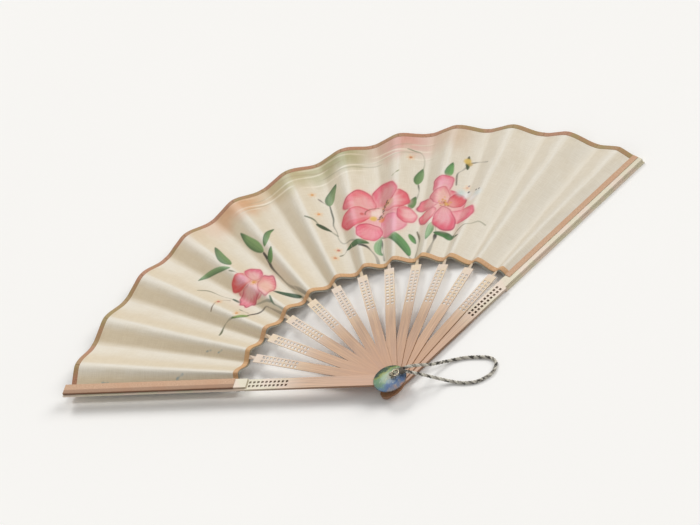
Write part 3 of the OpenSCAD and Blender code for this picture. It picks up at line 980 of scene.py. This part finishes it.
@dataclass
class PleatedLeaf:
    """The painted silk in twenty-four panels, with their ribbons; each piece that lies on a single stick moves with
    it.
    """

    plan: FanPlan
    silk: bpy.types.Material
    binding: bpy.types.Material
    band: bpy.types.Material
    hem: bpy.types.Material
    ribbon: bpy.types.Material
    thickness: float = 0.12
    pitch: float = 0.5
    sag: float = 0.28
    seed: int = 11
    ease: dict = field(default_factory=lambda: {Side.STICK: 0.24, Side.FOLD: 0.34})
    front_strip_off: float = -0.6
    rear_strip_w: float = 3.4
    edge_gap: float = 0.1

    def panels(self) -> list[Panel]:
        """The panels from the front guard round to the rear guard."""
        p, out = self.plan, []
        far = p.sticks + 1
        # Known fault: the lines below read `top` after this loop has ended, so the front guard's
        # strip lies at the rear guard's height, under the front guard instead of on it.
        for i in range(far):
            if i == 0:
                top = p.front_top + p.cloth_lift
                lines = [lambda r: p.beside(r, p.front_az, self.front_strip_off, top),
                         lambda r: p.beside(r, p.front_az, -p.guard_w / 2 + self.edge_gap, top),
                         lambda r: p.ridge(0, r)]
                turns, columns = (False, True), [8, 22]
            else:
                lines = [lambda r, i=i: p.valley(i, r), lambda r, i=i: p.ridge(i, r)]
                turns, columns = (True, True), [34]
            out.append(Panel(f"silk_panel_{i}", lines, turns, columns, (p.body(i),),
                             (f"leaf_panel_{i}",), (p.body(i),), Side.STICK))
            if i == far - 1:
                top = p.stack_base + p.cloth_lift
                lines = [lambda r, i=i: p.ridge(i, r),
                         lambda r: p.beside(r, p.rear_az, p.guard_w / 2 - self.edge_gap, top),
                         lambda r: p.beside(r, p.rear_az, p.guard_w / 2 - self.rear_strip_w, top)]
                turns, columns = (True, False), [24, 8]
            else:
                lines = [lambda r, i=i: p.ridge(i, r), lambda r, i=i: p.valley(i + 1, r)]
                turns, columns = (True, True), [38]
            out.append(Panel(f"silk_fold_{i}", lines, turns, columns,
                             (p.body(i), p.body(i + 1)),
                             (f"leaf_fold_{i}",), (p.body(i), p.body(i + 1)), Side.FOLD))
        return out

    def profile(self, u: np.ndarray, first: bool, last: bool, e: float) -> np.ndarray:
        """Eases a straight fall over the share e of it, so that it is level at a fold."""
        low = e if first else 0.0
        high = e if last else 0.0
        span = 1 - (low + high) / 2
        c = np.clip(u, low, 1 - high)
        s = (c - low / 2) / span
        if first:
            s += (np.minimum(u, e) ** 2 - e * e) / (2 * e * span)
        if last:
            s += (e * e - np.minimum(1 - u, e) ** 2) / (2 * e * span)
        return s

    def surface(self, panel: Panel, r: np.ndarray) -> np.ndarray:
        """The panel's middle surface.

        Args:
            panel: the panel.
            r: the radii of its rows.

        Returns:
            Points, rows by columns by three, in millimetres.
        """
        parts = []
        count = len(panel.columns)
        for k, cols in enumerate(panel.columns):
            a, b = panel.lines[k](r), panel.lines[k + 1](r)
            u = np.linspace(0, 1, cols)
            u = u if k == count - 1 else u[:-1]
            first, last = k == 0 and panel.turns[0], k == count - 1 and panel.turns[1]
            s = self.profile(u, first, last, self.ease[panel.side])
            flat = a[:, None, :] + (b - a)[:, None, :] * u[None, :, None]
            flat[..., 2] = a[:, None, 2] + (b - a)[:, None, 2] * s[None, :]
            if count == 1 or (first or last):
                v = np.clip((r - self.plan.leaf_inner) / (self.plan.leaf_outer - self.plan.leaf_inner), 0, 1)
                flat[..., 2] += self.billow(panel, u, v)
            parts.append(flat)
        return np.concatenate(parts, 1)

    def billow(self, panel: Panel, u: np.ndarray, v: np.ndarray) -> np.ndarray:
        """Gentle unevenness of the silk between the folds, in millimetres."""
        rng = np.random.default_rng(self.seed + sum(map(ord, panel.name)))
        hold = np.sin(np.pi * u) if panel.side is Side.FOLD else np.abs(np.sin(2 * np.pi * u)) ** 1.5
        total = np.zeros((len(v), len(u)))
        for k in range(4):
            a, b, c = rng.uniform(-1, 1), rng.uniform(0, 6.28), rng.uniform(0, 6.28)
            total += a * np.sin((1.5 + 2.3 * k) * v[:, None] * 3.14 + b + 0.9 * np.sin(3.1 * u[None, :] + c))
        size = self.sag if panel.side is Side.FOLD else self.sag * 0.35
        return total * hold[None, :] * size * (0.35 + 0.65 * v[:, None]) * (1 if panel.side is Side.FOLD else 0.6)

    def painted_pleat_shade(self, panel: Panel, cols: int, rows: int) -> np.ndarray:
        """Painted shade on the pleats: none along the ridges, most on the slopes, and stronger at the fan's left."""
        u, step = np.linspace(0, 1, cols), LeafPainting.step
        if panel.side is Side.STICK:
            shade_depth = (1 - step(u, 0.5, 0.97)) * (0.45 + 0.55 * step(u, 0.0, 0.25))
        else:
            shade_depth = step(u, 0.03, 0.16) * (1 - 0.75 * step(u, 0.3, 0.8)) * 0.8
        i = int(panel.name.rsplit("_", 1)[1])
        shade_depth = shade_depth * (1.4 - 0.85 * step(np.array(float(i)), 3.0, 9.0))
        tone = 1 - (1 - np.array([0.93, 0.865, 0.76])) * shade_depth[:, None]
        return np.tile(tone, (rows, 1))

    def measures(self, mid: np.ndarray, r: np.ndarray) -> np.ndarray:
        """The cloth's own coordinates: millimetres across, and radius."""
        gaps = np.linalg.norm(np.diff(mid[len(r) // 2], axis=0), axis=1)
        across = np.concatenate([[0], np.cumsum(gaps)])
        return np.stack(np.broadcast_arrays(across[None, :], r[:, None]), -1)

    def move(self, obj: bpy.types.Object, panel: Panel) -> None:
        """Attaches a piece on one body to it; a piece between two bodies is left where it lies."""
        if len(panel.bodies) == 1:
            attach(obj, panel.bodies[0])
            return
        r = self.plan.leaf_inner + 1
        a = panel.lines[0](np.array([r]))[0]
        b = panel.lines[1](np.array([r]))[0]
        mid, way = (a + b) / 2, b - a
        mid[2] = way[2] = 0.0
        half = way / 2 * 0.96
        tuple((mid - half) * MM)
        tuple((mid + half) * MM)
        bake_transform(obj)

    def trim(self, panel: Panel, name: str, at: float, half: float, thick: float, drop: float,
             material: bpy.types.Material) -> bpy.types.Object:
        """A ribbon along one edge of a panel.

        Args:
            panel: the panel it is on.
            name: the piece's name.
            at: radius of the ribbon's middle.
            half: half of its width.
            thick: half of its thickness.
            drop: how far it lies below the silk.
            material: the finish.

        Returns:
            The ribbon, a closed loop of cloth round the edge.
        """
        turn = np.linspace(0, 2 * np.pi, 12, endpoint=False)
        dr = half * np.sign(np.cos(turn)) * np.abs(np.cos(turn)) ** 0.5
        dz = thick * np.sign(np.sin(turn)) * np.abs(np.sin(turn)) ** 0.6
        rows = self.surface(panel, np.clip(at + dr, self.plan.leaf_inner - 1.5, self.plan.leaf_outer + 0.8))
        rows[..., 2] += dz[:, None] - drop
        ring = rows.transpose(1, 0, 2)
        n, m = ring.shape[:2]
        ends = [list(range(m)), list(range((n - 1) * m, n * m))]
        body = grid_faces(n, m, closed=True)
        way = np.cross(ring[0, 1] - ring[0, 0], ring[1, 0] - ring[0, 0])
        out = ring[0, 0] - ring[0].mean(0)
        flip = np.dot(way, out) < 0
        faces = (body if flip else body[:, ::-1]).tolist()
        faces += [ends[0] if flip else ends[0][::-1], ends[1][::-1] if flip else ends[1]]
        obj = polygons(name, ring.reshape(-1, 3), faces, material)
        gaps = np.linalg.norm(np.diff(ring[:, 0], axis=0), axis=1)
        across = np.concatenate([[0], np.cumsum(gaps)]) + 7.0 * len(name)
        put_uv(obj, np.stack(np.broadcast_arrays(across[:, None], (at + dr)[None, :]), -1).reshape(-1, 2))
        return obj

    def build(self, painting: LeafPainting) -> None:
        """Makes every panel with its painting and its ribbons."""
        p = self.plan
        top = p.front_top + p.cloth_lift + 0.16
        ends = (("silk_panel_0", "front_end_ribbon", "front_guard", p.front_az,
                 ((-4.15, top + 0.05), (-1.0, top), (2.4, top - 0.05), (2.95, top - 0.3), (3.0, top - 1.15))),
                ("silk_fold_11", "rear_end_ribbon", "rear_guard", p.rear_az, ((4.3, 3.4), (2.4, 3.25), (0.5, 3.2))))
        r = np.linspace(p.leaf_inner, p.leaf_outer, int((p.leaf_outer - p.leaf_inner) / self.pitch) + 1)
        for panel in self.panels():
            mid = self.surface(panel, r)
            obj = thin_shell(panel.name, mid, self.thickness, self.measures(mid, r), self.silk)
            colour = painting.colours(mid[..., :2].reshape(-1, 2))
            # Painted shade across each pleat, as a tan tint over the painting.
            colour *= self.painted_pleat_shade(panel, mid.shape[1], mid.shape[0])
            back = np.array(painting.lining) + (colour - np.array(painting.silk)) * 0.16
            put_colour(obj, np.vstack([colour, np.clip(back, 0, 1)]))
            trims = [self.trim(panel, panel.name + "_binding", p.leaf_outer - 1.2, 1.8, 0.2, 0.0, self.binding),
                     self.trim(panel, panel.name + "_band", p.leaf_inner + 1.5, 1.75, 0.2, 0.0, self.band),
                     self.trim(panel, panel.name + "_hem", p.leaf_inner + 0.1, 1.3, 0.12, 0.45, self.hem)]
            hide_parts(*panel.nodes)
            for piece in [obj] + trims:
                self.move(piece, panel)
            trims += [self.end_ribbon(*end) for where, *end in ends if where == panel.name]

    def end_ribbon(self, name: str, body: str, az: float, path: Sequence[Point]) -> bpy.types.Object:
        """A ribbon that finishes an end of the leaf along a guard.

        Args:
            name: the piece's name.
            body: the guard's body.
            az: the guard's azimuth.
            path: the section's points, offset from the centreline and height.

        Returns:
            The ribbon.
        """
        p = self.plan
        r = np.linspace(p.leaf_inner - 0.2, p.leaf_outer + 0.6, 120)
        dense = LeafPainting.smooth(path, 4) if len(path) > 2 else np.array(path, float)
        rows = np.stack([p.beside(r, az, off, z) for off, z in dense], 1)
        rows[..., 2] += 0.03 * np.sin(r * 0.7)[:, None]
        obj = thin_shell(name, rows, 0.16, self.measures(rows, r)[..., ::-1].copy(), self.ribbon)
        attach(obj, body)
        log.info("%s", name)
        return obj


# ---------------------------------------------------------------- repeats, in geometry nodes

class Rule:
    """A Geometry Nodes tree with named inputs that grows a piece from a base object."""

    def __init__(self, name: str, inputs: dict[str, float]) -> None:
        """Starts the tree with a geometry input and one number for each name."""
        self.group = bpy.data.node_groups.new(name, "GeometryNodeTree")
        face = self.group.interface
        face.new_socket("Geometry", in_out="INPUT", socket_type="NodeSocketGeometry")
        self.ids = {}
        for key, value in inputs.items():
            socket = face.new_socket(key, in_out="INPUT", socket_type="NodeSocketFloat")
            socket.default_value = value
            self.ids[key] = socket.identifier
        face.new_socket("Geometry", in_out="OUTPUT", socket_type="NodeSocketGeometry")
        self.tree = Tree(self.group)
        self.start = self.tree.node("NodeGroupInput", {}, {}, out="Geometry")

    def value(self, name: str) -> Val:
        """One of the named inputs."""
        return self.start.other(name)

    def end(self, shape: Val, material: bpy.types.Material) -> None:
        """Ends the tree: instances made real, and the finish put on."""
        real = self.tree.node("GeometryNodeRealizeInstances", {}, {"Geometry": shape})
        done = self.tree.node("GeometryNodeSetMaterial", {}, {"Geometry": real, "Material": material})
        out = self.group.nodes.new("NodeGroupOutput")
        self.group.links.new(done.socket, out.inputs["Geometry"])

    def grow(self, base: bpy.types.Object, name: str, values: dict[str, float]) -> bpy.types.Object:
        """Runs the tree on a base and keeps the result as a plain mesh.

        Args:
            base: the object to grow from, which is removed.
            name: the new object's name.
            values: the inputs that differ from their defaults.

        Returns:
            The new object, at the origin.
        """
        modifier = base.modifiers.new("Rule", "NODES")
        modifier.node_group = self.group
        for key, value in values.items():
            modifier[self.ids[key]] = value
        bpy.context.view_layer.update()
        evaluated = base.evaluated_get(bpy.context.evaluated_depsgraph_get())
        mesh = bpy.data.meshes.new_from_object(evaluated)
        mesh.name = name
        obj = bpy.data.objects.new(name, mesh)
        bpy.context.scene.collection.objects.link(obj)
        bpy.data.objects.remove(base)
        return obj


def line_object(name: str, points: np.ndarray, cyclic: bool = False) -> bpy.types.Object:
    """A poly curve through points in millimetres, as a base for a rule."""
    curve = bpy.data.curves.new(name, "CURVE")
    curve.dimensions = "3D"
    spline = curve.splines.new("POLY")
    spline.points.add(len(points) - 1)
    spline.points.foreach_set("co", np.hstack([points * MM, np.ones((len(points), 1))]).ravel())
    spline.use_cyclic_u = cyclic
    obj = bpy.data.objects.new(name, curve)
    bpy.context.scene.collection.objects.link(obj)
    return obj


@dataclass
class WristCord:
    """The twisted cord's loop, with the thread binding where its two ends meet at the ring."""

    material: bpy.types.Material
    thread: bpy.types.Material
    diameter: float = 2.0
    strands: int = 3
    lay_length: float = 5.2
    collar_z: float = 13.15
    route: tuple = (
        (9.7, 1.1, 13.15), (13, 2, 12.2), (18, 3.2, 9.4), (26, 4.7, 4.5), (36, 5.4, 1.6), (45, 4, 1),
        (53.5, 0.5, 1), (60, -3.6, 1), (62, -9, 1), (59, -14.5, 1), (54, -17, 1), (47.5, -17.6, 1),
        (40, -15, 1), (33.5, -11, 1.6), (26.5, -7.6, 4.5), (19.5, -5.2, 8.8), (13.5, -3, 11.9),
        (9.7, -1.1, 13.15))

    def path(self) -> np.ndarray:
        """The cord's centreline in millimetres."""
        return LeafPainting.smooth(self.route, 10)

    def rule(self) -> Rule:
        """Strands that wind round a curve."""
        rule = Rule("twisted_strands", {"Strand radius": 0.4, "Wind radius": 0.5, "Turns": 20.0})
        t = rule.tree
        along = t.node("GeometryNodeSplineParameter", {}, {}, out="Factor")
        normal = t.node("GeometryNodeInputNormal", {}, {})
        tangent = t.node("GeometryNodeInputTangent", {}, {})
        side = t.node("ShaderNodeVectorMath", {"operation": "CROSS_PRODUCT"}, {0: tangent, 1: normal})
        ring = t.node("GeometryNodeCurvePrimitiveCircle", {}, {"Resolution": 8}, out="Curve")
        ring.socket.node.inputs["Radius"].default_value = 1.0
        t.tree.links.new(rule.value("Strand radius").socket, ring.socket.node.inputs["Radius"])
        join = t.tree.nodes.new("GeometryNodeJoinGeometry")
        for k in range(self.strands):
            angle = along * rule.value("Turns") * (2 * math.pi) + 2 * math.pi * k / self.strands
            a = t.node("ShaderNodeVectorMath", {"operation": "SCALE"},
                       {0: normal, "Scale": angle.math("COSINE") * rule.value("Wind radius")})
            b = t.node("ShaderNodeVectorMath", {"operation": "SCALE"},
                       {0: side, "Scale": angle.math("SINE") * rule.value("Wind radius")})
            off = t.node("ShaderNodeVectorMath", {"operation": "ADD"}, {0: a, 1: b})
            wound = t.node("GeometryNodeSetPosition", {}, {"Geometry": rule.start, "Offset": off})
            tube = t.node("GeometryNodeCurveToMesh", {}, {"Curve": wound, "Profile Curve": ring, "Fill Caps": True})
            named = t.node("GeometryNodeStoreNamedAttribute", {"data_type": "FLOAT", "domain": "POINT"},
                           {"Geometry": tube, "Name": "strand", "Value": k / max(self.strands - 1, 1)})
            t.tree.links.new(named.socket, join.inputs[0])
        rule.end(Val(t, join.outputs[0]), self.material)
        return rule

    def build(self) -> bpy.types.Object:
        """Returns:
            The cord.
        """
        path = self.path()
        length = float(np.linalg.norm(np.diff(path, axis=0), axis=1).sum())
        wind = self.diameter / 2 * 0.536
        base = line_object("cord_line", LeafPainting.smooth(self.route, 26))
        cord = self.rule().grow(base, "twisted_cord", {
            "Strand radius": (self.diameter / 2 - wind) * 1.12 * MM, "Wind radius": wind * MM,
            "Turns": length / self.lay_length})
        cord.data.polygons.foreach_set("use_smooth", [True] * len(cord.data.polygons))
        collar = self.binding()
        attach(cord, "wrist_cord")
        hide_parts("wrist_cord")
        log.info("twisted_cord: %.1f mm long", length)
        return cord

    def binding(self) -> bpy.types.Object:
        """Turns of thread round the cord's two ends.

        Returns:
            The binding.
        """
        rule = Rule("thread_turns", {"Turns": 9.0, "Pitch": 0.3, "Thread": 0.17})
        t = rule.tree
        line = t.node("GeometryNodeMeshLine", {"mode": "OFFSET"}, {"Count": 9})
        step = t.node("ShaderNodeCombineXYZ", {}, {"X": rule.value("Pitch")})
        t.tree.links.new(step.socket, line.socket.node.inputs["Offset"])
        t.tree.links.new(rule.value("Turns").socket, line.socket.node.inputs["Count"])
        ring = t.node("GeometryNodeCurvePrimitiveCircle", {}, {"Resolution": 8}, out="Curve")
        t.tree.links.new(rule.value("Thread").socket, ring.socket.node.inputs["Radius"])
        loop = t.node("GeometryNodeCurveToMesh", {}, {"Curve": rule.start, "Profile Curve": ring})
        many = t.node("GeometryNodeInstanceOnPoints", {}, {"Points": line, "Instance": loop})
        rule.end(many, self.thread)
        a = np.linspace(0, 2 * np.pi, 28, endpoint=False)
        section = np.stack([0 * a + 7.28, np.where(np.cos(a) >= 0, 1.1, -1.1) + 1.12 * np.cos(a),
                            self.collar_z + 1.12 * np.sin(a)], -1)
        base = line_object("binding_line", section, cyclic=True)
        obj = rule.grow(base, "cord_binding", {"Pitch": 0.28 * MM, "Thread": 0.16 * MM, "Turns": 9.0})
        obj.data.polygons.foreach_set("use_smooth", [True] * len(obj.data.polygons))
        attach(obj, "wrist_cord")
        log.info("cord_binding")
        return obj


# ---------------------------------------------------------------- the head

@dataclass
class ShellDisc:
    """The domed disc over the rivet, cut with fine radial flutes that fade towards its middle."""

    material: bpy.types.Material
    radius: float = 10.3
    under: float = 9.85
    rim: float = 0.55
    height: float = 1.55
    flutes: int = 48
    depth: float = 0.17

    def build(self) -> bpy.types.Object:
        """Makes the disc.

        Returns:
            The disc, a closed solid of revolution with flutes.
        """
        cols = self.flutes * 8
        th = np.linspace(0, 2 * np.pi, cols, endpoint=False)
        rise = self.height - self.rim
        ball = (self.radius ** 2 + rise ** 2) / (2 * rise)
        rings = []
        for q in np.linspace(0.03, 0.97, 34):
            r = self.radius * q
            z = self.under + self.height - ball + math.sqrt(ball * ball - r * r)
            cut = self.depth * LeafPainting.step(np.array(q), 0.35, 0.95) * (0.5 - 0.5 * np.cos(self.flutes * th))
            rings.append(np.stack([r * np.cos(th), r * np.sin(th), z - cut * (1 - 0.4 * (q > 0.96))], -1))
        edge = self.radius * (1 - 0.012 * (0.5 - 0.5 * np.cos(self.flutes * th)))
        for z, s in ((self.under + self.rim * 0.86, 0.995), (self.under + self.rim * 0.5, 1.0),
                     (self.under + 0.12, 0.998), (self.under, 0.985)):
            rings.append(np.stack([edge * s * np.cos(th), edge * s * np.sin(th), 0 * th + z], -1))
        hub = self.radius * 0.3
        rings.append(np.stack([hub * np.cos(th), hub * np.sin(th), 0 * th + self.under], -1))
        n = len(rings)
        points = np.vstack(rings + [[[0, 0, self.under + self.height]], [[0, 0, self.under]]])
        faces = grid_faces(n, cols, closed=True)[:, ::-1].tolist()
        last = (n - 1) * cols
        for k in range(cols):
            m = (k + 1) % cols
            faces += [[n * cols, k, m], [n * cols + 1, last + m, last + k]]
        obj = polygons("fluted_disc", points, faces, self.material)
        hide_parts("shell_disc")
        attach(obj, "rear_guard")
        log.info("fluted_disc: %d faces", len(obj.data.polygons))
        return obj


@dataclass
class Woodwork:
    """Finishes for the sticks, the guards and the metal parts, which keep their own shapes."""

    plan: FanPlan
    metal: bpy.types.Material
    thread: bpy.types.Material

    def dress(self, node: str, material: bpy.types.Material) -> None:
        """Puts a finish on every slot of a part's object."""
        obj = bpy.data.objects.get(node) or frame["nodes"][node]
        if not obj.material_slots:
            obj.data.materials.append(material)
        for slot in obj.material_slots:
            slot.material = material
        log.info("%s dressed", node)

    def build(self) -> None:
        """Dresses every part."""
        rng = np.random.default_rng(5)
        for i in range(1, self.plan.sticks + 1):
            tone = rng.uniform(-11, 11)
            self.dress(f"stick_{i}", Wood(
                f"stick_wood_{i}", roughness=0.46, coat=0.08, turn=self.plan.stick_az(i), shift=float(i),
                light=linear(196 + tone, 158 + tone, 120 + tone), dark=linear(146 + tone, 108 + tone, 76 + tone),
                blush=linear(186, 134, 98), far=linear(226, 208, 178), faded=0.75).make())
        for name, i in (("front_guard", 0), ("rear_guard", self.plan.sticks + 1)):
            self.dress(name, Wood(
                f"{name}_wood", roughness=0.42, coat=0.1, turn=self.plan.stick_az(i), shift=20.0 + i,
                light=linear(198, 160, 124), dark=linear(150, 112, 80), blush=linear(184, 132, 98),
                far=linear(212, 208, 184), faded=0.85).make())
        for name in ("rivet_pin", "rear_washer", "cord_eye", "cord_ring"):
            self.dress(name, self.metal)
        self.dress("cord_collar", self.thread)


# ---------------------------------------------------------------- the studio

@dataclass
class Studio:
    """The floor, the soft light and the camera."""

    lens: float = 114.555
    place: tuple = (105.37, -922.66, 943.62)
    right: tuple = (0.93415, -0.17977, -0.3083)
    up: tuple = (0.3481, 0.64944, 0.67605)
    key: float = 1.25
    back: float = 1.1
    surround: float = 0.5

    def camera(self) -> None:
        """Puts the camera at its viewing angle."""
        data = bpy.data.cameras.new("view")
        data.lens, data.sensor_width, data.sensor_fit = self.lens, 36.0, "HORIZONTAL"
        data.clip_start, data.clip_end = 0.05, 20.0
        right = Vector(self.right).normalized()
        up = (Vector(self.up) - right * Vector(self.up).dot(right)).normalized()
        back = right.cross(up)
        turn = Matrix((right, up, back)).transposed().to_4x4()
        obj = bpy.data.objects.new("view", data)
        obj.matrix_world = Matrix.Translation(Vector(self.place) * MM) @ turn
        bpy.context.scene.collection.objects.link(obj)
        bpy.context.scene.camera = obj

    def floor(self, material: bpy.types.Material) -> None:
        """Lays the plain pale floor."""
        size = 4000.0
        points = np.array([[-size, -size, -0.02], [size, -size, -0.02], [size, size, -0.02], [-size, size, -0.02]])
        obj = polygons("floor", points, [[0, 1, 2, 3]], material, smooth=False)

    def lights(self) -> None:
        """Large soft lights from the right and from behind, with a bright even surround."""
        for name, energy, spread, towards in (("key", self.key, 32, (0.80, 0.12, 0.62)),
                                              ("back", self.back, 22, (-0.12, 0.72, 0.69))):
            sun = bpy.data.lights.new(name, "SUN")
            sun.energy, sun.angle, sun.color = energy, math.radians(spread), (1.0, 0.985, 0.95)
            obj = bpy.data.objects.new(name, sun)
            obj.matrix_world = Vector(towards).normalized().to_track_quat("Z", "Y").to_matrix().to_4x4()
            bpy.context.scene.collection.objects.link(obj)
        world = bpy.data.worlds.new("surround")
        bpy.context.scene.world = world
        world.use_nodes = True
        background = world.node_tree.nodes["Background"]
        background.inputs["Color"].default_value = (1.0, 0.985, 0.96, 1.0)
        background.inputs["Strength"].default_value = self.surround
        bpy.context.scene.view_settings.view_transform = "Standard"


def main() -> None:
    """Builds the fan piece by piece."""
    logging.basicConfig(level=logging.INFO, format="%(message)s")
    plan = FanPlan()
    studio = Studio()
    studio.camera()
    metal = Metal("fitting_metal", roughness=0.35, metallic=1.0, tone=linear(196, 186, 164),
                  tarnish=linear(98, 88, 72)).make()
    cord = Thread("cord_thread", roughness=0.5, sheen=0.2, pale=linear(206, 202, 190),
                  grey=linear(136, 130, 120), fleck=linear(36, 32, 28), flecks=0.9).make()
    dark = Thread("binding_thread", roughness=0.6, pale=linear(92, 84, 74), grey=linear(52, 46, 42),
                  fleck=linear(20, 18, 16)).make()
    WristCord(cord, dark).build()
    studio.floor(Floor("floor_paper", roughness=0.8).make())
    studio.lights()
    silk = Silk("painted_silk", roughness=0.46, sheen=0.25).make()
    binding = Ribbon("copper_ribbon", roughness=0.5, light=linear(196, 144, 112), dark=linear(146, 100, 74),
                     drift=linear(150, 140, 84)).make()
    band = Ribbon("tan_ribbon", roughness=0.5, light=linear(216, 174, 130), dark=linear(184, 140, 100),
                  drift=linear(208, 166, 116)).make()
    hem = Ribbon("grey_hem", roughness=0.6, light=linear(168, 168, 158), dark=linear(112, 116, 104),
                 drift=linear(146, 132, 104)).make()
    ribbon = Ribbon("end_ribbon", roughness=0.5, light=linear(214, 178, 146), dark=linear(178, 134, 102),
                    drift=linear(196, 150, 116), turn_shade=1.0).make()
    leaf = PleatedLeaf(plan, silk, binding, band, hem, ribbon, pitch=0.5)
    leaf.build(LeafPainting(plan))
    ShellDisc(Shell("iridescent_shell", roughness=0.36, coat=0.15, specular=0.35).make()).build()
    Woodwork(plan, metal, dark).build()


if __name__ == "__main__":
    main()
